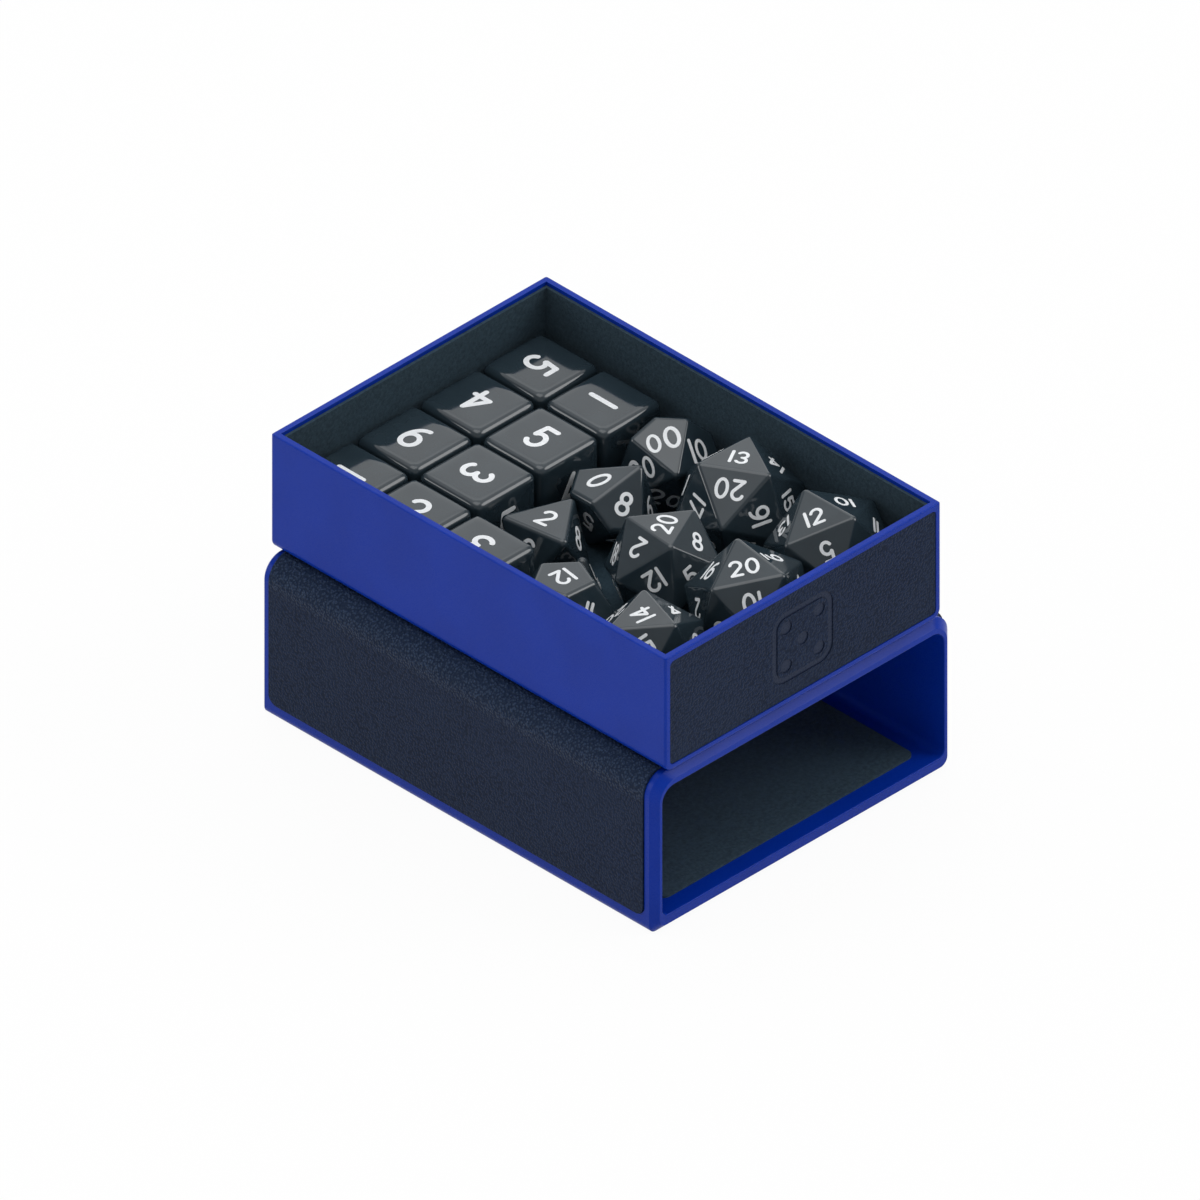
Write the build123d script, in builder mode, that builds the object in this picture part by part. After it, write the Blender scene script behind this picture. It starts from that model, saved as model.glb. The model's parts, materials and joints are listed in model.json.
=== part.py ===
"""Dice box: a flat sleeve, open at both ends, with its lined dice tray standing on top of it.

Millimetres, +Z up. The origin lies on the table, below the middle of the sleeve. The sleeve's length
runs along Y, and the end with the pressed die motif faces -Y.
"""

import os

from build123d import *

# Counts and ratios
die_columns = 4
die_rows = 6
golden_share = (1 + 5**0.5) / 2
corner_share = 3**-0.5  # from a triangle's middle to its corner, as a share of its edge
pentagon_share = (4 - golden_share**2) ** -0.5  # the same for a pentagon
waist_share = (2 - golden_share) / (2 + golden_share)  # keeps a ten-sided die's faces flat
leaning_height_share = 1.12  # height of a tipped twenty-sided die, as a share of its height on a face

# Dice: the six-sided die leads, and the others are shares of its size
die_size = 15.5
die_gap = 0.7
cube_round = 1.2
die_round = 1.1
d4_edge_share = 1.02
d8_edge_share = 0.97
d10_radius_share = 0.63
d12_edge_share = 0.46
d20_edge_share = 0.88
d20_small_edge_share = 0.815
d4_edge = d4_edge_share * die_size
d8_edge = d8_edge_share * die_size
d10_radius = d10_radius_share * die_size
d10_point = d10_radius
d10_waist = d10_point * waist_share
d12_edge = d12_edge_share * die_size
d20_edge = d20_edge_share * die_size
d20_small_edge = d20_small_edge_share * die_size
d20_height = d20_edge * corner_share * golden_share**2
die_pitch = die_size + die_gap

# Tray
tray_wall = 1.3
tray_floor = 0.9
tray_low_round = 1.9
tray_end_round = 0.5
tray_rim_round = 0.3
tray_lining = 0.6
lining_drop = 0.8
side_room = 2.23
end_room = 0.46
rim_room = 0.73
panel_border = 1.2
panel_seat = 0.5
panel_thick = 0.4
panel_play = 0.1
panel_round = 1.0

# Pressed motif on the front panel: the face of a die with five pips
motif_size = 15.6
motif_round = 3.4
motif_line = 1.3
motif_pip = 2.8
motif_pip_step = 4.2
motif_depth = 0.2

# Sleeve
sleeve_wall = 2.15
sleeve_floor = 3.5
sleeve_roof = 2.7
sleeve_top_round = 4.5
sleeve_end_top_round = 4.1
sleeve_low_round = 1.8
end_bevel = 1.4
end_margin = 0.13
slide_clearance = 0.8
head_clearance = 2.2
opening_top_round = 3.0
opening_low_round = 1.5
opening_edge_round = 0.25
floor_lining = 0.5
floor_lining_end = 3.7
floor_lining_side = 3.9
floor_lining_round = 1.6

# Leatherette wrap over the sleeve's two sides and roof
wrap_border = 1.25
wrap_low = 3.3
wrap_seat = 0.5
wrap_side_proud = 0.3
wrap_roof_proud = 0.6
wrap_play = 0.1
wrap_round = 2.0
glue_gap = 0.05

overrun = 1.0

# Sizes that follow, from the dice outwards
tray_inside_width = die_columns * die_pitch + side_room
tray_inside_length = die_rows * die_pitch + end_room
shell_inside_width = tray_inside_width + 2 * tray_lining
shell_inside_length = tray_inside_length + 2 * tray_lining
tray_width = shell_inside_width + 2 * tray_wall
tray_length = shell_inside_length + 2 * tray_wall
tray_height = tray_floor + tray_lining + leaning_height_share * d20_height + rim_room
sleeve_inside_width = tray_width + 2 * slide_clearance
sleeve_inside_height = floor_lining + tray_height + head_clearance
sleeve_width = sleeve_inside_width + 2 * sleeve_wall
sleeve_length = tray_length + 2 * end_margin
sleeve_height = sleeve_floor + sleeve_inside_height + sleeve_roof
wrap_seat_length = sleeve_length - 2 * (end_bevel + wrap_border)
tray_low = sleeve_height + wrap_roof_proud
tray_top = tray_low + tray_height
dice_floor = tray_low + tray_floor + tray_lining
panel_seat_width = tray_width - 2 * panel_border
panel_seat_height = tray_height - 2 * panel_border


def finish(piece, name):
    """Label a finished piece and write it to its own file."""
    piece.part.label = name
    export_step(piece.part, f"parts/{name}.step")


def section(width, low, high, low_round, high_round, forward=0):
    """Upright cross-section of the box, rounded by one radius below and another above."""
    with BuildSketch(Plane.XZ.offset(forward)) as outline:
        with Locations((0, low)):
            Rectangle(width, high - low, align=(Align.CENTER, Align.MIN))
        fillet(outline.vertices().group_by(Axis.Y)[-1], high_round)
        fillet(outline.vertices().group_by(Axis.Y)[0], low_round)
    return outline.sketch


def side_band(length, low):
    """Outline of the leatherette seen from the side, with its two lower corners rounded."""
    with BuildSketch(Plane.YZ) as outline:
        with Locations((0, low)):
            Rectangle(length, tray_low - low + overrun, align=(Align.CENTER, Align.MIN))
        fillet(outline.vertices().group_by(Axis.Y)[0], wrap_round)
    return outline.sketch


def band_around(inner_section, outer_section, outline):
    """Solid between two cross-sections of the sleeve, trimmed to a side outline."""
    with BuildPart() as band:
        extrude(outer_section, amount=sleeve_length, both=True)
        extrude(inner_section, amount=sleeve_length + overrun, both=True, mode=Mode.SUBTRACT)
        extrude(outline, amount=sleeve_width, both=True, mode=Mode.INTERSECT)
    return band


def sleeve_section(side_growth, roof_growth, forward=0):
    """Outer cross-section of the sleeve, grown at its sides and its roof."""
    width = sleeve_width + 2 * side_growth
    height = sleeve_height + roof_growth
    return section(width, 0, height, sleeve_low_round, sleeve_top_round + side_growth, forward)


os.makedirs("parts", exist_ok=True)

# Sleeve shell: a bevelled tube with a shallow seat for the leatherette
seat_outline = side_band(wrap_seat_length, wrap_low)
seat_section = sleeve_section(-wrap_seat, -wrap_seat)
seat_tool = band_around(seat_section, sleeve_section(overrun, overrun), seat_outline)
bevel_start = sleeve_length / 2 - end_bevel
end_section = section(
    sleeve_width - 2 * end_bevel,
    end_bevel,
    sleeve_height - end_bevel,
    sleeve_low_round,
    sleeve_end_top_round,
    sleeve_length / 2,
)
opening_top = sleeve_floor + sleeve_inside_height
opening_section = section(
    sleeve_inside_width, sleeve_floor, opening_top, opening_low_round, opening_top_round
)
with BuildPart() as sleeve_shell:
    extrude(sleeve_section(0, 0), amount=bevel_start)
    loft([sleeve_section(0, 0, bevel_start), end_section], ruled=True)
    mirror(about=Plane.XZ)
    extrude(opening_section, amount=sleeve_length / 2 + overrun, both=True, mode=Mode.SUBTRACT)
    mouth_edges = [face.inner_wires()[0].edges() for face in sleeve_shell.faces().filter_by(Axis.Y)]
    fillet(mouth_edges[0] + mouth_edges[1], opening_edge_round)
    add(seat_tool.part, mode=Mode.SUBTRACT)
finish(sleeve_shell, "sleeve_shell")

# Leatherette wrap, a little proud of the shell
wrap_outline = side_band(wrap_seat_length - 2 * wrap_play, wrap_low + wrap_play)
wrap_inside = sleeve_section(glue_gap - wrap_seat, glue_gap - wrap_seat)
wrap_outside = sleeve_section(wrap_side_proud, wrap_roof_proud)
sleeve_wrap = band_around(wrap_inside, wrap_outside, wrap_outline)
finish(sleeve_wrap, "sleeve_wrap")

# Lining glued to the sleeve's floor, which the tray slides on
with BuildPart() as sleeve_floor_lining:
    with BuildSketch(Plane.XY.offset(sleeve_floor)):
        RectangleRounded(
            sleeve_inside_width - 2 * floor_lining_side,
            sleeve_length - 2 * floor_lining_end,
            floor_lining_round,
        )
    extrude(amount=floor_lining)
finish(sleeve_floor_lining, "sleeve_floor_lining")

# Tray shell: open box with rounded lower long edges and a panel seat in each end
front_plane = Plane.XZ.offset(tray_length / 2)
back_plane = Plane.XZ.offset(-tray_length / 2)
panel_middle = tray_low + tray_height / 2
with BuildPart() as tray_shell:
    with BuildSketch(Plane.XZ) as tray_section:
        with Locations((0, tray_low)):
            Rectangle(tray_width, tray_height, align=(Align.CENTER, Align.MIN))
        fillet(tray_section.vertices().group_by(Axis.Y)[0], tray_low_round)
    extrude(amount=tray_length / 2, both=True)
    fillet(tray_shell.edges().filter_by(Axis.Z), tray_end_round)
    fillet(tray_shell.faces().sort_by(Axis.Z)[-1].edges(), tray_rim_round)
    with BuildSketch(Plane.XY.offset(tray_low + tray_floor)):
        Rectangle(shell_inside_width, shell_inside_length)
    extrude(amount=tray_height, mode=Mode.SUBTRACT)
    with BuildSketch(front_plane, back_plane):
        with Locations((0, panel_middle)):
            RectangleRounded(panel_seat_width, panel_seat_height, panel_round)
    extrude(amount=panel_seat, both=True, mode=Mode.SUBTRACT)
finish(tray_shell, "tray_shell")


def end_panel(plane):
    """Leatherette panel that lies in the seat of one end of the tray."""
    with BuildPart() as panel:
        with BuildSketch(plane):
            with Locations((0, panel_middle)):
                RectangleRounded(
                    panel_seat_width - 2 * panel_play,
                    panel_seat_height - 2 * panel_play,
                    panel_round - panel_play,
                )
        extrude(amount=panel_thick)
    return panel


# Back panel, plain
tray_back_panel = end_panel(back_plane.offset(panel_seat - panel_thick))
finish(tray_back_panel, "tray_back_panel")

# Front panel with the pressed motif
panel_face = front_plane.offset(panel_thick - panel_seat)
motif_inner = motif_size - 2 * motif_line
with BuildPart() as tray_front_panel:
    add(end_panel(front_plane.offset(-panel_seat)).part)
    with BuildSketch(panel_face):
        with Locations((0, panel_middle)):
            RectangleRounded(motif_size, motif_size, motif_round)
            RectangleRounded(motif_inner, motif_inner, motif_round - motif_line, mode=Mode.SUBTRACT)
            Circle(motif_pip / 2)
            with GridLocations(2 * motif_pip_step, 2 * motif_pip_step, 2, 2):
                Circle(motif_pip / 2)
    extrude(amount=-motif_depth, mode=Mode.SUBTRACT)
finish(tray_front_panel, "tray_front_panel")

# Tray linings: one sheet on the floor, and four on the walls that stand on it
with BuildPart() as tray_floor_lining:
    with BuildSketch(Plane.XY.offset(tray_low + tray_floor)):
        Rectangle(shell_inside_width, shell_inside_length)
    extrude(amount=tray_lining)
finish(tray_floor_lining, "tray_floor_lining")

wall_lining_height = tray_top - lining_drop - dice_floor
side_lining_x = (tray_inside_width + tray_lining) / 2
end_lining_y = (tray_inside_length + tray_lining) / 2
wall_linings = {
    "tray_left_lining": (-side_lining_x, 0, tray_lining, shell_inside_length),
    "tray_right_lining": (side_lining_x, 0, tray_lining, shell_inside_length),
    "tray_front_lining": (0, -end_lining_y, tray_inside_width, tray_lining),
    "tray_back_lining": (0, end_lining_y, tray_inside_width, tray_lining),
}
for name, (x, y, width, length) in wall_linings.items():
    with BuildPart() as wall_lining:
        with BuildSketch(Plane.XY.offset(dice_floor)):
            with Locations((x, y)):
                Rectangle(width, length)
        extrude(amount=wall_lining_height)
    finish(wall_lining, name)


def ring(count, radius, height, turn):
    """Corners of a level regular polygon."""
    first = Vector(radius, 0, height)
    return [first.rotate(Axis.Z, turn + 360 / count * step) for step in range(count)]


def golden_rings(count, radius, turns):
    """Corners of a twelve-sided or twenty-sided die on one of its faces, in four level rings."""
    middle_share = golden_share**2 / 2
    radius_shares = (1, golden_share, golden_share, 1)
    height_shares = (0, 1, golden_share, 2 * middle_share)
    corners = []
    for radius_share, height_share, turn in zip(radius_shares, height_shares, turns):
        height = (height_share - middle_share) * radius
        corners += ring(count, radius_share * radius, height, turn)
    return corners


def four_sided():
    radius = d4_edge * corner_share
    return ring(3, radius, 0, 0) + [Vector(0, 0, radius * 2**0.5)]


def eight_sided():
    radius = d8_edge * corner_share
    return ring(3, radius, 0, 0) + ring(3, radius, radius * 2**0.5, 60)


def ten_sided():
    """Two five-sided points with a zigzag waist, about an upright axis."""
    points = [Vector(0, 0, d10_point), Vector(0, 0, -d10_point)]
    return points + ring(5, d10_radius, d10_waist, 36) + ring(5, d10_radius, -d10_waist, 0)


def twelve_sided():
    return golden_rings(5, d12_edge * pentagon_share, (0, 0, 36, 36))


def twenty_sided(edge):
    return golden_rings(3, edge * corner_share, (0, 60, 0, 60))


def ten_sided_lay():
    """Turn that lays a ten-sided die on one of its faces, with that face's point towards +X."""
    outwards = Vector(d10_point + d10_waist, 0, d10_radius)
    return Rotation(0, 90 + Vector(1, 0, 0).get_angle(outwards), 0)


def leaning(angle, direction):
    """Turn that tips a die by an angle about a level line in a compass direction."""
    return Rotation(0, 0, direction) * Rotation(angle, 0, 0) * Rotation(0, 0, -direction)


def lay_die(name, corners, place_shares, turn):
    """A die in the tray, turned and then lowered until it meets the floor lining."""
    with BuildPart() as die:
        with Locations(turn):
            ConvexPolyhedron(corners)
        fillet(die.edges(), die_round)
    x, y = (share * die_pitch for share in place_shares)
    die.part.position = (x, y, dice_floor - die.part.bounding_box().min.Z)
    finish(die, name)


# Loose dice in the front of the tray: places are shares of the die pitch
lay_die("d4", four_sided(), (-0.62, -0.246), Rotation(0, 0, -95))
lay_die("d8", eight_sided(), (-0.444, 0.497), Rotation(0, 0, 68.8))
d10_turn = leaning(14.8, -120.8) * Rotation(0, 0, 149.3) * ten_sided_lay()
lay_die("d10", ten_sided(), (0.544, 0.406), d10_turn)
d10_tens_turn = leaning(24, -70) * Rotation(0, 0, 60) * ten_sided_lay()
lay_die("d10_tens", ten_sided(), (1.515, 0.471), d10_tens_turn)
lay_die("d12", twelve_sided(), (-1.353, -0.672), Rotation(0, 0, 49.3))
d20_lies = {
    "d20_1": (d20_edge, (1.37, -0.737), leaning(2.4, 113.6) * Rotation(0, 0, 90.4)),
    "d20_2": (d20_small_edge, (-0.019, -0.948), Rotation(0, 0, 55.5)),
    "d20_3": (d20_edge, (1.374, -2.194), leaning(20.6, -100) * Rotation(0, 0, -2)),
    "d20_4": (d20_edge, (0.009, -2.283), leaning(12.4, -75.2) * Rotation(0, 0, -5.4)),
    "d20_5": (d20_small_edge, (-1.38, -2.06), leaning(8.6, -103.1) * Rotation(0, 0, -17.7)),
}
for name, (edge, place_shares, turn) in d20_lies.items():
    lay_die(name, twenty_sided(edge), place_shares, turn)

# Six-sided dice in rows along the back of the tray: columns and rows are counted in die pitches
back_row_share = 2.465
right_column_share = 1.425
cube_places = [(column, 0) for column in range(die_columns)]
cube_places += [(column, 1) for column in range(die_columns)]
cube_places += [(die_columns - 1, 2)]
for number, (column, row) in enumerate(cube_places, start=1):
    with BuildPart() as cube:
        cube_x = (right_column_share - column) * die_pitch
        cube_y = (back_row_share - row) * die_pitch
        with Locations((cube_x, cube_y, dice_floor)):
            Box(die_size, die_size, die_size, align=(Align.CENTER, Align.CENTER, Align.MIN))
        fillet(cube.edges(), cube_round)
    finish(cube, f"d6_{number}")
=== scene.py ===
"""Dice box on a white table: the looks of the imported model, in metres and in the model's own frame."""

import json
import math

import bmesh
import bpy
from mathutils import Matrix, Vector


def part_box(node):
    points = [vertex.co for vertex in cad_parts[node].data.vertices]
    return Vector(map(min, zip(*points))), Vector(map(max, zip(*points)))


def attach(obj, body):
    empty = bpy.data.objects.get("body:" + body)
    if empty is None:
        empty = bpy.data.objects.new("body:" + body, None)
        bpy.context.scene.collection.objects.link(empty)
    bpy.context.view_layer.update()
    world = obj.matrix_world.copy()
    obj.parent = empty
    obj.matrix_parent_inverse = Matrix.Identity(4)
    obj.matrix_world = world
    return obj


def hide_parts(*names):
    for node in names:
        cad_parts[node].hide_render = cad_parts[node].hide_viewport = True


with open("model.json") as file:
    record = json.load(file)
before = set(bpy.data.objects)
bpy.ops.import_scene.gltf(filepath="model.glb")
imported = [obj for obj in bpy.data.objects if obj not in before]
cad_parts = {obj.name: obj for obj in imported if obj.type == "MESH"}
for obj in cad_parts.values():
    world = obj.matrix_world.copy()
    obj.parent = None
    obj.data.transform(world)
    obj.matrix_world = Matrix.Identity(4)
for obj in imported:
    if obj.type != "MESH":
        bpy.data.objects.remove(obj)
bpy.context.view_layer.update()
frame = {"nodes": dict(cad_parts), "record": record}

MM = 0.001
nodes = frame["nodes"]
scene = bpy.context.scene


def node_box(node):
    """Lowest and highest corner of a node at rest."""
    return [Vector(corner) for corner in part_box(node)]


# Camera: a parallel view from the left front corner, above
VIEW_AZIMUTH = math.radians(-45)
VIEW_ELEVATION = math.radians(35)
VIEW_WIDTH = 218.18 * MM
VIEW_RIGHT_SHIFT = -1.07 * MM
VIEW_UP_SHIFT = 25.23 * MM
VIEW_DISTANCE = 1.0
PHOTO_PIXELS = 1200

view_forward = Vector(
    (
        -math.sin(VIEW_AZIMUTH) * math.cos(VIEW_ELEVATION),
        math.cos(VIEW_AZIMUTH) * math.cos(VIEW_ELEVATION),
        -math.sin(VIEW_ELEVATION),
    )
)
view_right = view_forward.cross(Vector((0, 0, 1))).normalized()
view_up = view_right.cross(view_forward)


def photo_pixel(point):
    """Where a point of the object lies in the photograph, in pixels from its upper left corner."""
    across = (point.dot(view_right) - VIEW_RIGHT_SHIFT) / VIEW_WIDTH
    down = (VIEW_UP_SHIFT - point.dot(view_up)) / VIEW_WIDTH
    return Vector((0.5 + across, 0.5 + down)) * PHOTO_PIXELS


def add_camera():
    """Parallel camera at the photograph's angle, framed as the photograph is."""
    data = bpy.data.cameras.new("photo_camera")
    data.type = "ORTHO"
    data.ortho_scale = VIEW_WIDTH
    camera = bpy.data.objects.new("photo_camera", data)
    target = view_right * VIEW_RIGHT_SHIFT + view_up * VIEW_UP_SHIFT
    camera.location = target - view_forward * VIEW_DISTANCE
    camera.rotation_euler = view_forward.to_track_quat("-Z", "Y").to_euler()
    scene.collection.objects.link(camera)
    scene.camera = camera


# Shader helpers


def set_input(tree, socket, value):
    """Join a socket to another node's output, or set its constant value."""
    if isinstance(value, bpy.types.NodeSocket):
        tree.links.new(value, socket)
    else:
        socket.default_value = value


def add_node(tree, kind, inputs, **settings):
    """A shader node with its settings and inputs."""
    node = tree.nodes.new(kind)
    for name, value in settings.items():
        setattr(node, name, value)
    for name, value in inputs.items():
        set_input(tree, node.inputs[name], value)
    return node


def start_material(name, **constants):
    """A material with its shader's constants set, and the place on the object that its textures follow."""
    material = bpy.data.materials.new(name)
    material.use_nodes = True
    tree = material.node_tree
    shader = tree.nodes["Principled BSDF"]
    for socket, value in constants.items():
        shader.inputs[socket.replace("_", " ")].default_value = value
    place = tree.nodes.new("ShaderNodeTexCoord").outputs["Object"]
    return material, tree, shader, place


def noise(tree, place, grain, detail=2.0):
    """Noise whose blotches are about one grain across."""
    inputs = {"Vector": place, "Scale": 1 / grain, "Detail": detail}
    return add_node(tree, "ShaderNodeTexNoise", inputs).outputs["Fac"]


def spread(tree, value, low, high, to_low=0.0, to_high=1.0):
    """Stretch a value from one range to another, and clamp it there."""
    inputs = {"Value": value, "From Min": low, "From Max": high, "To Min": to_low, "To Max": to_high}
    return add_node(tree, "ShaderNodeMapRange", inputs).outputs["Result"]


def blend_colours(tree, share, first, second):
    """Colour that goes from the first to the second as the share goes from 0 to 1."""
    node = add_node(tree, "ShaderNodeMix", {}, data_type="RGBA")
    set_input(tree, node.inputs["Factor"], share)
    ends = {"A": first, "B": second}
    for socket in node.inputs:
        if socket.type == "RGBA":
            colour = ends[socket.name]
            set_input(tree, socket, colour if isinstance(colour, bpy.types.NodeSocket) else (*colour, 1))
    return next(output for output in node.outputs if output.type == "RGBA")


def mix_values(tree, first, second, operation):
    """Sum, product or other combination of two values."""
    node = add_node(tree, "ShaderNodeMath", {}, operation=operation)
    set_input(tree, node.inputs[0], first)
    set_input(tree, node.inputs[1], second)
    return node.outputs[0]


def paint(tree, shader, colour, roughness):
    """Give a surface its colour and its roughness."""
    tree.links.new(colour, shader.inputs["Base Color"])
    tree.links.new(roughness, shader.inputs["Roughness"])


def raise_surface(tree, shader, height, depth):
    """Fine relief of the given depth in the surface."""
    bump = add_node(tree, "ShaderNodeBump", {"Height": height, "Distance": depth})
    tree.links.new(bump.outputs["Normal"], shader.inputs["Normal"])


# Ranges of noise values that are spread over a whole blend
WIDE_NOISE = (0.3, 0.7)
NARROW_NOISE = (0.35, 0.65)

# Moulded plastic
PLASTIC_SHADES = ((0.001, 0.0265, 0.298), (0.0015, 0.0295, 0.325))
PLASTIC_CLOUD = 12 * MM
PLASTIC_GRAIN = 0.12 * MM
PLASTIC_ROUGHNESS = (0.24, 0.36)
PLASTIC_RELIEF = 0.004 * MM


def moulded_plastic():
    """Saturated blue plastic with a satin moulded skin and a faint unevenness of colour."""
    material, tree, shader, place = start_material("moulded_plastic", Specular_IOR_Level=0.13)
    cloud = noise(tree, place, PLASTIC_CLOUD)
    grain = noise(tree, place, PLASTIC_GRAIN)
    colour = blend_colours(tree, spread(tree, cloud, *NARROW_NOISE), *PLASTIC_SHADES)
    paint(tree, shader, colour, spread(tree, grain, *WIDE_NOISE, *PLASTIC_ROUGHNESS))
    raise_surface(tree, shader, grain, PLASTIC_RELIEF)
    return material


# Leatherette: its shades run from the creases to the pebbles of the grain
LEATHER_SHADES = ((0.004, 0.010, 0.028), (0.0125, 0.026, 0.066))
LEATHER_PEBBLE = 0.5 * MM
LEATHER_PEBBLE_SMOOTHNESS = 0.3
LEATHER_CREASE_DISTANCE = 0.75
LEATHER_WANDER = 0.5 * MM
LEATHER_WANDER_GRAIN = 1.1 * MM
LEATHER_FIBRE = 0.14 * MM
LEATHER_FIBRE_SHARE = 0.35
LEATHER_CLOUD = 9 * MM
LEATHER_CLOUD_SHADE = (0.013, 0.025, 0.058)
LEATHER_CLOUD_SHARES = (0.0, 0.25)
LEATHER_GRAIN_RANGE = (0.2, 0.9)
LEATHER_ROUGHNESS = (0.42, 0.2)
LEATHER_RELIEF = 0.06 * MM

# Pressed mark: how far behind the panel's face it starts, and what pressing does to the leatherette
PRESSED_DEPTH_SHARE = 0.25
PRESSED_EDGE = 0.03 * MM
PRESSED_SHADE = (0.021, 0.030, 0.058)
PRESSED_RELIEF_SHARE = 0.12
PRESSED_ROUGHNESS_CHANGE = -0.06

# Painted glints along the sleeve's round edges: the pebbles of the grain are painted bright, as if they
# caught the light, and the creases are painted lighter against the shade under the tray
PAINTED_GLINT_SHADES = ((0.010, 0.020, 0.046), (0.036, 0.059, 0.112))
PAINTED_GLINT_GRAIN_RANGE = (0.25, 0.85)
GLINT_BAND_RELIEF_SHARE = 4.0
GLINT_SIDE_BAND = (12 * MM, 6 * MM)
GLINT_ROOF_BAND = (6.6 * MM, 3 * MM)


def leather_grain(tree, place):
    """Height of a fine pebbled leather grain, from 0 in the creases to 1 on the pebbles."""
    inputs = {"Vector": place, "Scale": 1 / LEATHER_WANDER_GRAIN, "Detail": 2.0}
    wander = add_node(tree, "ShaderNodeTexNoise", inputs).outputs["Color"]
    inputs = {0: wander, 1: (0.5, 0.5, 0.5)}
    shift = add_node(tree, "ShaderNodeVectorMath", inputs, operation="SUBTRACT").outputs[0]
    inputs = {0: shift, "Scale": LEATHER_WANDER}
    small_shift = add_node(tree, "ShaderNodeVectorMath", inputs, operation="SCALE").outputs[0]
    inputs = {0: place, 1: small_shift}
    bent = add_node(tree, "ShaderNodeVectorMath", inputs, operation="ADD").outputs[0]
    inputs = {"Vector": bent, "Scale": 1 / LEATHER_PEBBLE, "Smoothness": LEATHER_PEBBLE_SMOOTHNESS}
    pebbles = add_node(tree, "ShaderNodeTexVoronoi", inputs, feature="SMOOTH_F1").outputs["Distance"]
    return spread(tree, pebbles, 0.0, LEATHER_CREASE_DISTANCE, 1.0, 0.0)


def pressed_mark(tree, place, pressed_from):
    """1 behind the panel's face, where the mark is pressed in, and 0 on the face."""
    behind = add_node(tree, "ShaderNodeSeparateXYZ", {"Vector": place}).outputs["Y"]
    return spread(tree, behind, pressed_from - PRESSED_EDGE, pressed_from + PRESSED_EDGE)


def stretched_edge(tree, place, low, high):
    """Mask of the painted glints: 1 along the two round edges beside the roof, and 0 on the flat sides and
    the middle of the roof.
    """
    axes = add_node(tree, "ShaderNodeSeparateXYZ", {"Vector": place}).outputs
    off_middle = mix_values(tree, axes["X"], (low.x + high.x) / 2, "SUBTRACT")
    outwards = mix_values(tree, off_middle, 0.0, "ABSOLUTE")
    half_width = (high.x - low.x) / 2
    by_side = spread(tree, outwards, *(half_width - reach for reach in GLINT_SIDE_BAND))
    by_roof = spread(tree, axes["Z"], *(high.z - reach for reach in GLINT_ROOF_BAND))
    return mix_values(tree, by_side, by_roof, "MULTIPLY")


def leatherette(name, pressed_from=None, glint_box=None):
    """Dark slate leatherette: smoother where it is pressed in, and with painted glints on its pebbles and
    deeper relief along the round edges.
    """
    material, tree, shader, place = start_material(name, Specular_IOR_Level=0.06)
    grain = leather_grain(tree, place)
    fibre = noise(tree, place, LEATHER_FIBRE)
    cloud = noise(tree, place, LEATHER_CLOUD)
    height = mix_values(tree, grain, mix_values(tree, fibre, LEATHER_FIBRE_SHARE, "MULTIPLY"), "ADD")
    colour = blend_colours(tree, grain, *LEATHER_SHADES)
    cloud_share = spread(tree, cloud, *WIDE_NOISE, *LEATHER_CLOUD_SHARES)
    colour = blend_colours(tree, cloud_share, colour, LEATHER_CLOUD_SHADE)
    rough = spread(tree, grain, *LEATHER_GRAIN_RANGE, *LEATHER_ROUGHNESS)
    if pressed_from is not None:
        pressed = pressed_mark(tree, place, pressed_from)
        relief_share = spread(tree, pressed, 0, 1, 1.0, PRESSED_RELIEF_SHARE)
        height = mix_values(tree, height, relief_share, "MULTIPLY")
        colour = blend_colours(tree, pressed, colour, PRESSED_SHADE)
        rough_change = spread(tree, pressed, 0, 1, 0.0, PRESSED_ROUGHNESS_CHANGE)
        rough = mix_values(tree, rough, rough_change, "ADD")
    if glint_box is not None:
        # Painted glints: along the round edges the pebbles are painted bright, as if they caught the light,
        # the creases are painted lighter, and the relief is deeper
        glint_band = stretched_edge(tree, place, *glint_box)
        relief_share = spread(tree, glint_band, 0, 1, 1.0, GLINT_BAND_RELIEF_SHARE)
        height = mix_values(tree, height, relief_share, "MULTIPLY")
        glint_share = spread(tree, grain, *PAINTED_GLINT_GRAIN_RANGE)
        painted_glint_colour = blend_colours(tree, glint_share, *PAINTED_GLINT_SHADES)
        colour = blend_colours(tree, glint_band, colour, painted_glint_colour)
    paint(tree, shader, colour, rough)
    raise_surface(tree, shader, height, LEATHER_RELIEF)
    return material


# Microfibre lining: its shades run from the foot to the tips of the pile
LINING_SHADES = ((0.0155, 0.034, 0.050), (0.038, 0.069, 0.094))
LINING_PILE = 0.22 * MM
LINING_PILE_DETAIL = 3.0
LINING_TUFT = 0.7 * MM
LINING_HEIGHT_RANGE = (0.7, 1.3)
LINING_BRUSHED = 14 * MM
LINING_BRUSHED_SHADE = (0.036, 0.066, 0.092)
LINING_BRUSHED_SHARES = (0.0, 0.2)
LINING_ROUGHNESS = (0.8, 0.95)
LINING_RELIEF = 0.06 * MM


def microfibre():
    """Matt dark slate microfibre with a short, slightly mottled pile."""
    material, tree, shader, place = start_material(
        "microfibre", Specular_IOR_Level=0.18, Sheen_Weight=0.12, Sheen_Roughness=0.4
    )
    pile = noise(tree, place, LINING_PILE, LINING_PILE_DETAIL)
    tufts = noise(tree, place, LINING_TUFT)
    brushed = noise(tree, place, LINING_BRUSHED)
    height = mix_values(tree, pile, tufts, "ADD")
    colour = blend_colours(tree, spread(tree, height, *LINING_HEIGHT_RANGE), *LINING_SHADES)
    brushed_share = spread(tree, brushed, *NARROW_NOISE, *LINING_BRUSHED_SHARES)
    colour = blend_colours(tree, brushed_share, colour, LINING_BRUSHED_SHADE)
    paint(tree, shader, colour, spread(tree, pile, *WIDE_NOISE, *LINING_ROUGHNESS))
    raise_surface(tree, shader, height, LINING_RELIEF)
    return material


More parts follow.
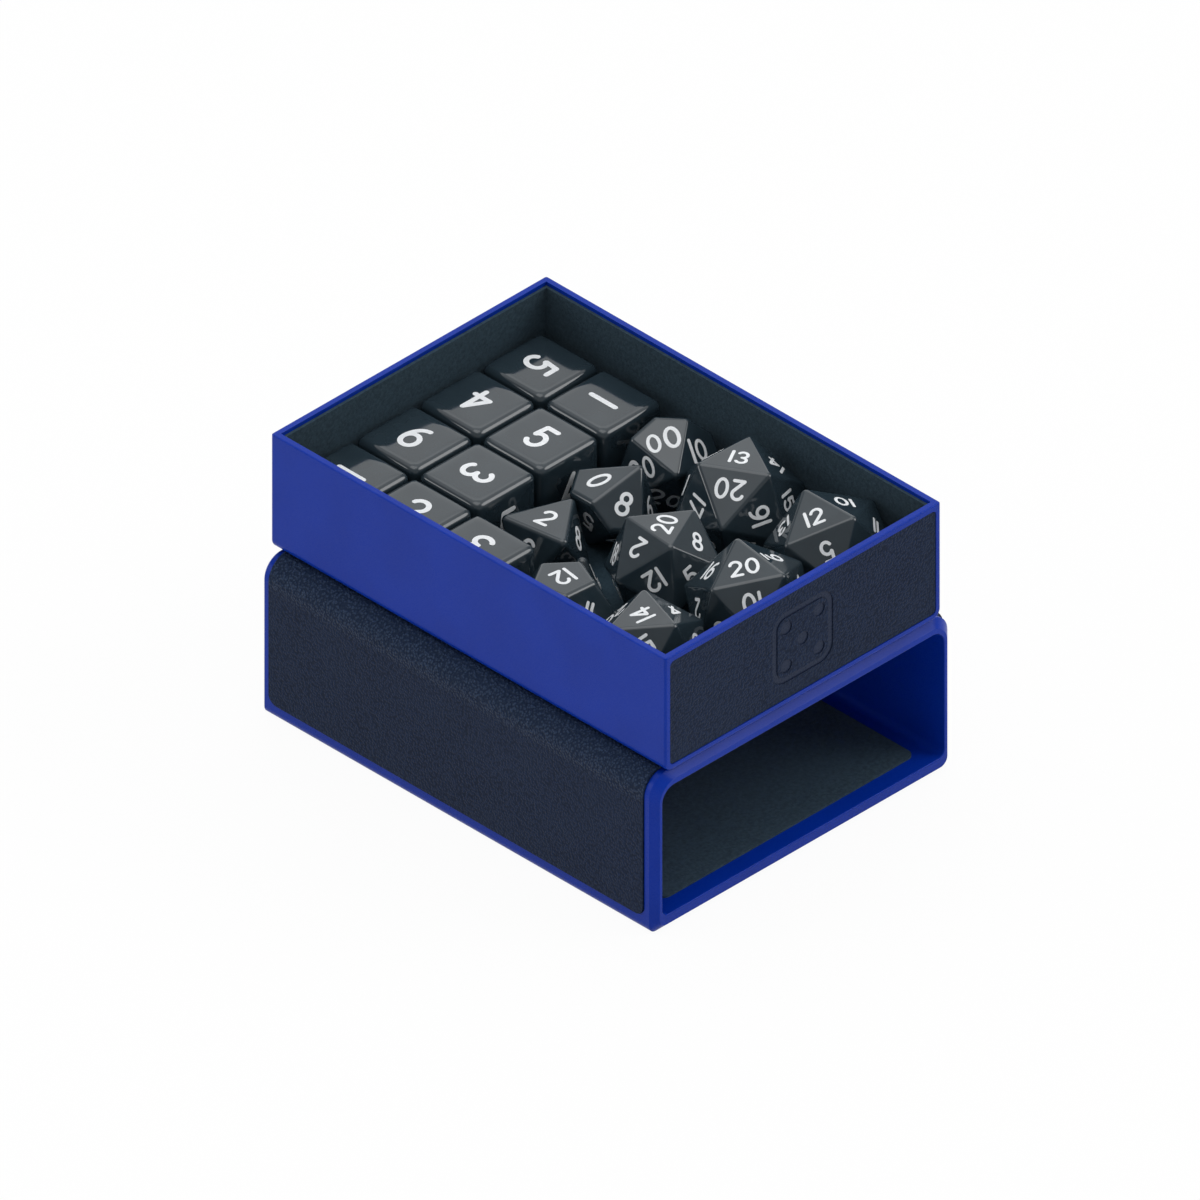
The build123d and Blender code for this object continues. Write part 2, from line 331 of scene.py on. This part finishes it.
# Dice resin and the paint of its numerals
RESIN_SHADES = ((0.0165, 0.0275, 0.0365), (0.021, 0.034, 0.044))
RESIN_CLOUD = 5 * MM
RESIN_HAZE = 1.5 * MM
RESIN_ROUGHNESS = (0.05, 0.09)
INK_SHADES = ((0.76, 0.785, 0.81), (0.82, 0.845, 0.87))
INK_CLOUD = 0.8 * MM
INK_ROUGHNESS = (0.35, 0.5)


def polished_resin():
    """Glossy dark slate resin with a faint cloudiness."""
    material, tree, shader, place = start_material("polished_resin", IOR=1.6)
    cloud = noise(tree, place, RESIN_CLOUD)
    haze = noise(tree, place, RESIN_HAZE)
    colour = blend_colours(tree, spread(tree, cloud, *WIDE_NOISE), *RESIN_SHADES)
    paint(tree, shader, colour, spread(tree, haze, *WIDE_NOISE, *RESIN_ROUGHNESS))
    return material


def numeral_ink():
    """White paint of the numerals, a little uneven."""
    material, tree, shader, place = start_material("numeral_ink", Specular_IOR_Level=0.3)
    cloud = noise(tree, place, INK_CLOUD)
    colour = blend_colours(tree, spread(tree, cloud, *WIDE_NOISE), *INK_SHADES)
    paint(tree, shader, colour, spread(tree, cloud, *WIDE_NOISE, *INK_ROUGHNESS))
    return material


# Light and floor: each panel of light has its direction, its reach in degrees and its brightness
FLOOR_REACH = 2.0
FLOOR_COLOUR = (0.85, 0.85, 0.85, 1)
FLOOR_GLOW = (1, 1, 1, 1)
FLOOR_GLOW_SHARE = 0.95
HORIZON_TOP = 0.16
ROOM_LEVEL = 0.4
PANEL_SOFTNESS = 5
PANELS = {
    "behind": ((0.66, 0.66, 0.37), 28, 0.8),
    "above": ((0.1, 0.1, 1.0), 42, 0.6),
    "left": ((-0.67, 0.67, 0.32), 15, 3.0),
    "right": ((0.62, -0.57, 0.57), 18, 3.6),
}
LAMP_PLACE = (0, 0.1, 1.2)
LAMP_SIZE = 1.0
LAMP_POWER = 3.5


def seen_directly(tree):
    """1 for what the camera sees, also in gloss and through glass, and 0 for light that falls on things."""
    path = tree.nodes.new("ShaderNodeLightPath").outputs
    glossy = mix_values(tree, path["Is Glossy Ray"], path["Is Transmission Ray"], "MAXIMUM")
    return mix_values(tree, path["Is Camera Ray"], glossy, "MAXIMUM")


def add_floor():
    """White table top that keeps a faint shadow of the object."""
    material = bpy.data.materials.new("white_floor")
    material.use_nodes = True
    tree = material.node_tree
    tree.nodes.clear()
    paper = add_node(tree, "ShaderNodeBsdfDiffuse", {"Color": FLOOR_COLOUR})
    glow = add_node(tree, "ShaderNodeEmission", {"Color": FLOOR_GLOW, "Strength": 1.0})
    share = mix_values(tree, seen_directly(tree), FLOOR_GLOW_SHARE, "MULTIPLY")
    surface = add_node(tree, "ShaderNodeMixShader", {0: share, 1: paper.outputs[0], 2: glow.outputs[0]})
    add_node(tree, "ShaderNodeOutputMaterial", {"Surface": surface.outputs[0]})
    mesh = bpy.data.meshes.new("floor")
    corners = [(-1, -1), (1, -1), (1, 1), (-1, 1)]
    mesh.from_pydata([(x * FLOOR_REACH, y * FLOOR_REACH, 0) for x, y in corners], [], [range(4)])
    mesh.materials.append(material)
    floor = bpy.data.objects.new("floor", mesh)
    scene.collection.objects.link(floor)


def add_world():
    """Pale surroundings: a white horizon and soft panels behind, above and beside the object."""
    world = bpy.data.worlds.new("pale_room")
    scene.world = world
    world.use_nodes = True
    tree = world.node_tree
    direction = tree.nodes.new("ShaderNodeTexCoord").outputs["Generated"]
    steepness = add_node(tree, "ShaderNodeSeparateXYZ", {"Vector": direction}).outputs["Z"]
    level = spread(tree, steepness, HORIZON_TOP / 2, HORIZON_TOP, 1.0, ROOM_LEVEL)
    for middle, reach, brightness in PANELS.values():
        inputs = {0: direction, 1: Vector(middle).normalized()}
        facing = add_node(tree, "ShaderNodeVectorMath", inputs, operation="DOT_PRODUCT").outputs["Value"]
        edge = math.cos(math.radians(reach))
        soft_edge = math.cos(math.radians(reach - PANEL_SOFTNESS))
        glow = spread(tree, facing, edge, soft_edge, 0.0, brightness)
        level = mix_values(tree, level, glow, "ADD")
    tree.links.new(level, tree.nodes["Background"].inputs["Color"])


def add_lamp(name, place, size, power):
    """Soft square lamp that faces the object."""
    data = bpy.data.lights.new(name, "AREA")
    data.size = size
    data.energy = power
    lamp = bpy.data.objects.new(name, data)
    lamp.location = place
    lamp.rotation_euler = (-Vector(place)).to_track_quat("-Z", "Y").to_euler()
    scene.collection.objects.link(lamp)


# Digits: strokes on a grid that is one digit high
ARC_STEPS = 20
CAP_STEPS = 6
STROKE_SHARE = 0.175
DIGIT_SPACE_SHARE = 0.3
UNDERLINE_DROP_SHARE = 0.3


def arc(middle, radii, start, end):
    """Points along part of an ellipse, in degrees from its right-hand side."""
    steps = [start + (end - start) * step / ARC_STEPS for step in range(ARC_STEPS + 1)]
    angles = [math.radians(step) for step in steps]
    return [Vector((middle[0] + radii[0] * math.cos(a), middle[1] + radii[1] * math.sin(a))) for a in angles]


def bar(*points):
    """Straight strokes from point to point."""
    return [Vector(point) for point in points]


def sweep(first, first_pull, last_pull, last):
    """Points along a curve that leaves and arrives towards its two pulls."""
    points = []
    for step in range(ARC_STEPS + 1):
        t = step / ARC_STEPS
        shares = ((1 - t) ** 3, 3 * t * (1 - t) ** 2, 3 * t**2 * (1 - t), t**3)
        pulls = (first, first_pull, last_pull, last)
        points.append(sum((Vector(pull) * share for pull, share in zip(pulls, shares)), Vector((0, 0))))
    return points


six_strokes = [
    arc((0.28, 0.31), (0.28, 0.31), 0, 360),
    sweep((0, 0.31), (0, 0.72), (0.2, 0.97), (0.46, 1)),
]
DIGIT_STROKES = {
    "0": [arc((0.29, 0.5), (0.29, 0.5), 0, 360)],
    "1": [bar((0, 0), (0, 1))],
    "2": [arc((0.28, 0.72), (0.28, 0.28), 165, -38) + bar((0, 0)), bar((0, 0), (0.56, 0))],
    "3": [arc((0.26, 0.745), (0.25, 0.255), 150, -90), arc((0.26, 0.245), (0.28, 0.245), 90, -150)],
    "4": [bar((0.42, 1), (0, 0.28)), bar((0, 0.28), (0.6, 0.28)), bar((0.42, 1), (0.42, 0))],
    "5": [bar((0.52, 1), (0.1, 1)), bar((0.1, 1), (0.05, 0.54)), arc((0.27, 0.32), (0.27, 0.32), 140, -150)],
    "6": six_strokes,
    "7": [bar((0, 1), (0.54, 1)), bar((0.54, 1), (0.16, 0))],
    "8": [arc((0.27, 0.76), (0.225, 0.24), 0, 360), arc((0.27, 0.27), (0.27, 0.27), 0, 360)],
    "9": [[Vector((0.56 - point.x, 1 - point.y)) for point in stroke] for stroke in six_strokes],
}


def side_steps(points, closed):
    """Half a stroke's width to the left of each point along a stroke."""
    steps = []
    last = len(points) - 1
    for index in range(len(points)):
        before = points[index - 1] if index or closed else points[0]
        after = points[(index + 1) % len(points)] if index < last or closed else points[last]
        along = (after - before).normalized()
        steps.append(Vector((-along.y, along.x)) * STROKE_SHARE / 2)
    return steps


def round_end(end, side):
    """Points of the half circle that closes a stroke, from its left side to its right."""
    points = []
    for step in range(1, CAP_STEPS):
        turn = Matrix.Rotation(-math.pi * step / CAP_STEPS, 2)
        points.append(end + turn @ side)
    return points


def add_prism(mesh, top, bottom, loops):
    """Closed thin solid between two levels: one loop is a plain outline, and two are a ring's edges."""
    rings = []
    for loop in loops:
        points = [point.to_3d() for point in loop]
        rings.append([(mesh.verts.new(top @ point), mesh.verts.new(bottom @ point)) for point in points])
    for ring, outwards in zip(rings, (1, -1)):
        for (top_a, low_a), (top_b, low_b) in zip(ring, ring[1:] + ring[:1]):
            mesh.faces.new((top_a, low_a, low_b, top_b)[::outwards])
    if len(rings) == 1:
        mesh.faces.new([pair[0] for pair in rings[0]])
        mesh.faces.new([pair[1] for pair in reversed(rings[0])])
        return
    outer, inner = rings
    for index in range(len(outer)):
        following = (index + 1) % len(outer)
        corners = (outer[index], outer[following], inner[following], inner[index])
        mesh.faces.new([pair[0] for pair in corners])
        mesh.faces.new([pair[1] for pair in reversed(corners)])


def add_stroke(mesh, points, top, bottom):
    """One stroke of a digit, as a thin solid with round ends or as a closed ring."""
    closed = (points[0] - points[-1]).length < STROKE_SHARE / 100
    if closed:
        points = points[:-1]
    sides = side_steps(points, closed)
    left = [point + side for point, side in zip(points, sides)]
    right = [point - side for point, side in zip(points, sides)]
    if closed:
        add_prism(mesh, top, bottom, [right, left])
        return
    outline = left + round_end(points[-1], sides[-1])
    outline += right[::-1] + round_end(points[0], -sides[0])
    add_prism(mesh, top, bottom, [outline[::-1]])


# Numerals on a face: each stroke stands a step higher than the one before it
INK_PROUD = 0.03 * MM
INK_STEP = 0.002 * MM
INK_SUNK = 0.08 * MM


def number_strokes(text, height, second_share):
    """Strokes of a number about its middle, each with the left side and the height of its digit."""
    digits = text.rstrip("_")
    scales = [height] + [height * second_share] * (len(digits) - 1)
    widths = [
        scale * max(point.x for stroke in DIGIT_STROKES[digit] for point in stroke)
        for digit, scale in zip(digits, scales)
    ]
    space = DIGIT_SPACE_SHARE * height
    left = -(sum(widths) + space * (len(digits) - 1)) / 2
    strokes = []
    for digit, width, scale in zip(digits, widths, scales):
        strokes += [(stroke, left, scale) for stroke in DIGIT_STROKES[digit]]
        left += width + space
    if text.endswith("_"):
        half_width = max(sum(widths), space) / 2 / height
        line = bar((-half_width, -UNDERLINE_DROP_SHARE), (half_width, -UNDERLINE_DROP_SHARE))
        strokes.append((line, 0, height))
    return strokes


def add_number(mesh, text, middle, up, normal, height, second_share=1.0):
    """Number on a flat face, with its middle, the way up and the face's normal given."""
    up = (up - normal * up.dot(normal)).normalized()
    right = up.cross(normal)
    turn = Matrix((right, up, normal)).transposed().to_4x4()
    for layer, (stroke, left, scale) in enumerate(number_strokes(text, height, second_share)):
        flat = Matrix.Translation((left, -scale / 2, 0)) @ Matrix.Diagonal((scale, scale, 1, 1))
        levels = []
        for level in (INK_PROUD + layer * INK_STEP, -INK_SUNK):
            levels.append(Matrix.Translation(middle) @ turn @ Matrix.Translation((0, 0, level)) @ flat)
        add_stroke(mesh, stroke, *levels)


def add_piece(name, mesh, material, die):
    """Piece made of a finished mesh, which rides on its die."""
    bmesh.ops.recalc_face_normals(mesh, faces=mesh.faces)
    data = bpy.data.meshes.new(name)
    mesh.to_mesh(data)
    mesh.free()
    data.materials.append(material)
    piece = bpy.data.objects.new(name, data)
    scene.collection.objects.link(piece)
    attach(piece, die)
    return piece


# Six-sided dice: softly crowned cubes with the number on top and the way up of that number
PILLOW_DROP = 0.25 * MM
PILLOW_POWER = 6
CUBE_ROUND = 1.2 * MM
CUBE_FLAT_STEPS = 12
CUBE_ROUND_STEPS = 6
CUBE_MERGE = 0.001 * MM
CUBE_DIGIT = 6.1 * MM
OPPOSITE_SUM = 7
CUBE_TOPS = {
    "d6_1": ("5", (0, -1, 0)),
    "d6_2": ("4", (-1, 0, 0)),
    "d6_3": ("6", (1, 0, 0)),
    "d6_4": ("1", (0, 1, 0)),
    "d6_5": ("1", (0, 1, 0)),
    "d6_6": ("5", (1, 0, 0)),
    "d6_7": ("3", (0, -1, 0)),
    "d6_8": ("2", (1, 0, 0)),
    "d6_9": ("3", (-1, 0, 0)),
}


def crowned_point(across, along, half):
    """Point on the upper face of a crowned cube, from its places and bends along the two edges."""
    flat = half - CUBE_ROUND
    normal = Vector((math.tan(across[1]), math.tan(along[1]), 1)).normalized()
    point = Vector((across[0], along[0], flat)) + normal * CUBE_ROUND
    drop = 0
    for axis in range(3):
        others = [point[other] / half for other in range(3) if other != axis]
        drop += abs(normal[axis]) * sum(share**PILLOW_POWER for share in others)
    return point - normal * drop * PILLOW_DROP / 2


def crowned_cube(middle, half):
    """Mesh of a cube with round edges whose faces fall away a little towards their edges."""
    flat = half - CUBE_ROUND
    quarter = math.pi / 4
    bends = [quarter * step / CUBE_ROUND_STEPS for step in range(CUBE_ROUND_STEPS + 1)]
    stops = [(-flat, -bend) for bend in reversed(bends)]
    stops += [(flat * (2 * step / CUBE_FLAT_STEPS - 1), 0) for step in range(1, CUBE_FLAT_STEPS)]
    stops += [(flat, bend) for bend in bends]
    turns = [Matrix.Rotation(math.pi / 2 * quarters, 3, "X") for quarters in range(4)]
    turns += [Matrix.Rotation(math.pi / 2 * quarters, 3, "Y") for quarters in (1, 3)]
    mesh = bmesh.new()
    for turn in turns:
        rows = [[mesh.verts.new(turn @ crowned_point(u, v, half)) for v in stops] for u in stops]
        for row, next_row in zip(rows, rows[1:]):
            for corners in zip(row, next_row, next_row[1:], row[1:]):
                mesh.faces.new(corners)
    bmesh.ops.remove_doubles(mesh, verts=mesh.verts, dist=CUBE_MERGE)
    bmesh.ops.translate(mesh, verts=mesh.verts, vec=middle)
    for face in mesh.faces:
        face.smooth = True
    return mesh


def add_cube(die, top, top_up):
    """One six-sided die with its six numbers, opposite faces adding up to seven."""
    low, high = node_box(die)
    middle = (low + high) / 2
    half = (high.z - low.z) / 2
    piece = add_piece(f"{die}_cube", crowned_cube(middle, half), resin, die)
    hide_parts(die)
    above = int(top)
    below = OPPOSITE_SUM - above
    first, second = [number for number in (1, 2, 3) if number not in (above, below)]
    upwards = (0, 0, 1)
    faces = [
        ((0, 0, 1), above, top_up),
        ((0, 0, -1), below, top_up),
        ((1, 0, 0), first, upwards),
        ((-1, 0, 0), OPPOSITE_SUM - first, upwards),
        ((0, 1, 0), second, upwards),
        ((0, -1, 0), OPPOSITE_SUM - second, upwards),
    ]
    numbers = bmesh.new()
    for direction, number, up in faces:
        normal = Vector(direction)
        add_number(numbers, str(number), middle + normal * half, Vector(up), normal, CUBE_DIGIT)
    add_piece(f"{die}_numerals", numbers, ink, die)


# Other dice: numbers seen in the photograph, each with its own pixel and a pixel that its top points to
FACE_COUNTS = {"d4": 4, "d8": 8, "d10": 10, "d10_tens": 10, "d12": 12, "d20": 20}
DIGIT_HEIGHTS = {
    "d4": 3.2 * MM,
    "d8": 4.1 * MM,
    "d10": 4.1 * MM,
    "d10_tens": 4.2 * MM,
    "d12": 3.8 * MM,
    "d20": 3.5 * MM,
}
TENS_SECOND_SHARE = 0.85
D4_REACH_SHARE = 0.5
SAME_NORMAL_SHARE = 0.9999
FACING_SHARE = 0.04
SEEN_NUMBERS = {
    "d8": [("2", (544, 513), (569, 497)), ("8", (574, 530), (569, 497))],
    "d10": [
        ("0", (601, 468), (646, 457)),
        ("8", (626, 495), (646, 457)),
        ("5", (599, 531), (590, 560)),
        ("6_", (653, 500), (646, 457)),
    ],
    "d10_tens": [
        ("00", (657, 445), (673, 480)),
        ("80", (657, 423), (673, 400)),
        ("10", (697, 452), (690, 420)),
    ],
    "d12": [("12", (565, 575), (569, 593)), ("11", (593, 606), (585, 590))],
    "d20_1": [
        ("13", (742, 453), (752, 434)),
        ("20", (732, 490), (724, 528)),
        ("16", (765, 519), (724, 528)),
        ("14", (783, 463), (772, 474)),
        ("15", (793, 497), (815, 490)),
        ("17", (699, 500), (709, 510)),
    ],
    "d20_2": [
        ("20", (667, 518), (632, 511)),
        ("2", (641, 545), (621, 572)),
        ("18", (618, 547), (600, 540)),
        ("12", (660, 575), (668, 590)),
        ("8", (704, 539), (698, 505)),
    ],
    "d20_3": [
        ("12", (819, 520), (810, 490)),
        ("10", (850, 504), (860, 517)),
        ("13", (787, 529), (794, 542)),
        ("5", (826, 552), (826, 580)),
        ("11", (882, 521), (882, 500)),
    ],
    "d20_4": [
        ("20", (741, 565), (735, 536)),
        ("16", (705, 569), (735, 536)),
        ("9_", (774, 555), (800, 559)),
        ("10", (746, 601), (746, 630)),
    ],
    "d20_5": [
        ("14", (649, 610), (612, 624)),
        ("4", (681, 601), (668, 618)),
        ("15", (650, 639), (681, 619)),
    ],
}


class Face:
    """Flat face of a die: its outward normal, its middle and its corners."""

    def __init__(self, normal, area, moment, corners):
        self.normal = normal
        self.middle = moment / area
        self.corners = corners


def flat_faces(die, count):
    """The largest flat faces of a die, gathered from its mesh by their normals."""
    data = nodes[die].data
    groups = []
    for polygon in data.polygons:
        normal = polygon.normal.copy()
        group = next((found for found in groups if found[0].dot(normal) > SAME_NORMAL_SHARE), None)
        if group is None:
            group = [normal, 0.0, Vector(), []]
            groups.append(group)
        group[1] += polygon.area
        group[2] += polygon.center * polygon.area
        group[3] += [data.vertices[index].co.copy() for index in polygon.vertices]
    groups.sort(key=lambda group: -group[1])
    return [Face(*group) for group in groups[:count]]


def corner_towards(face, pixel):
    """Direction from a face's middle to the corner that points most nearly at a pixel of the photograph."""
    start = photo_pixel(face.middle)
    wanted = (Vector(pixel) - start).normalized()

    def likeness(corner):
        return (photo_pixel(corner) - start).normalized().dot(wanted)

    return max(face.corners, key=likeness) - face.middle


def furthest_corner(face):
    """Direction from a face's middle to its furthest corner."""
    return max((corner - face.middle for corner in face.corners), key=lambda reach: reach.length)


def opposite_face(face, faces):
    """The face on the other side of a die."""
    return min(faces, key=lambda other: other.normal.dot(face.normal))


def number_faces(die, names, total, faces):
    """Give each face of a die its number and its way up, first where the photograph shows them."""
    given = {}
    facing = [face for face in faces if -face.normal.dot(view_forward) > FACING_SHARE]
    for text, pixel, top_pixel in SEEN_NUMBERS.get(die, []):
        free = [face for face in facing if face not in given]
        face = min(free, key=lambda candidate: (photo_pixel(candidate.middle) - Vector(pixel)).length)
        given[face] = (text, corner_towards(face, top_pixel))
    left = [name for name in names if name not in {text for text, _ in given.values()}]
    for face in list(given):
        partner = opposite_face(face, faces)
        wanted = str(total - int(given[face][0].rstrip("_")))
        matches = [name for name in left if name.rstrip("_") == wanted]
        if partner not in given and matches:
            given[partner] = (matches[0], furthest_corner(partner))
            left.remove(matches[0])
    for face in faces:
        if face not in given:
            given[face] = (left.pop(0), furthest_corner(face))
    return given


def underlined_number(number, highest):
    """A number's text, underlined where it could be read upside down."""
    return f"{number}_" if number in (6, 9) and highest > 8 else str(number)


def add_die_numerals(die, kind):
    """Numbers on every face of one many-sided die."""
    count = FACE_COUNTS[kind]
    height = DIGIT_HEIGHTS[kind]
    second_share = 1.0
    if kind == "d10_tens":
        names = [f"{tens}0" for tens in range(count)]
        total = 10 * (count - 1)
        second_share = TENS_SECOND_SHARE
    elif kind == "d10":
        names = [underlined_number(number, count) for number in range(count)]
        total = count - 1
    else:
        names = [underlined_number(number, count) for number in range(1, count + 1)]
        total = count + 1
    mesh = bmesh.new()
    for face, (text, up) in number_faces(die, names, total, flat_faces(die, count)).items():
        add_number(mesh, text, face.middle, up, face.normal, height, second_share)
    add_piece(f"{die}_numerals", mesh, ink, die)


def add_d4_numerals():
    """Three numbers on each face of the four-sided die: each corner of the die has its own number."""
    faces = flat_faces("d4", FACE_COUNTS["d4"])
    mesh = bmesh.new()
    for face in faces:
        ways = [corner - face.middle for corner in face.corners]
        for number, opposite in enumerate(faces, start=1):
            if opposite is face:
                continue
            reach = min(ways, key=lambda way: way.dot(opposite.normal))
            place = face.middle + reach * D4_REACH_SHARE
            add_number(mesh, str(number), place, reach, face.normal, DIGIT_HEIGHTS["d4"])
    add_piece("d4_numerals", mesh, ink, "d4")


# Put it together
add_camera()
add_floor()
add_world()
add_lamp("overhead_lamp", LAMP_PLACE, LAMP_SIZE, LAMP_POWER)

panel_low, panel_high = node_box("tray_front_panel")
mark_from = panel_low.y + PRESSED_DEPTH_SHARE * (panel_high.y - panel_low.y)

blue = moulded_plastic()
plain_leather = leatherette("plain_leatherette")
# The wrap's leatherette carries painted glints and painted lightening along its round edges
wrap_leather = leatherette("wrap_leatherette", glint_box=node_box("sleeve_wrap"))
panel_leather = leatherette("panel_leatherette", pressed_from=mark_from)
lining = microfibre()
resin = polished_resin()
ink = numeral_ink()

finishes = {
    "sleeve_plastic": blue,
    "tray_plastic": blue,
    "leatherette": plain_leather,
    "lining": lining,
    "dice_resin": resin,
}
for subpart in frame["record"]["subparts"]:
    data = nodes[subpart["node"]].data
    data.materials.clear()
    data.materials.append(finishes[subpart["material_slot"]])
nodes["sleeve_wrap"].data.materials[0] = wrap_leather
nodes["tray_front_panel"].data.materials[0] = panel_leather

for die, (top, top_up) in CUBE_TOPS.items():
    add_cube(die, top, top_up)
add_d4_numerals()
for die in ("d8", "d10", "d10_tens", "d12"):
    add_die_numerals(die, die)
for number in range(1, 6):
    add_die_numerals(f"d20_{number}", "d20")

scene.view_settings.view_transform = "Standard"
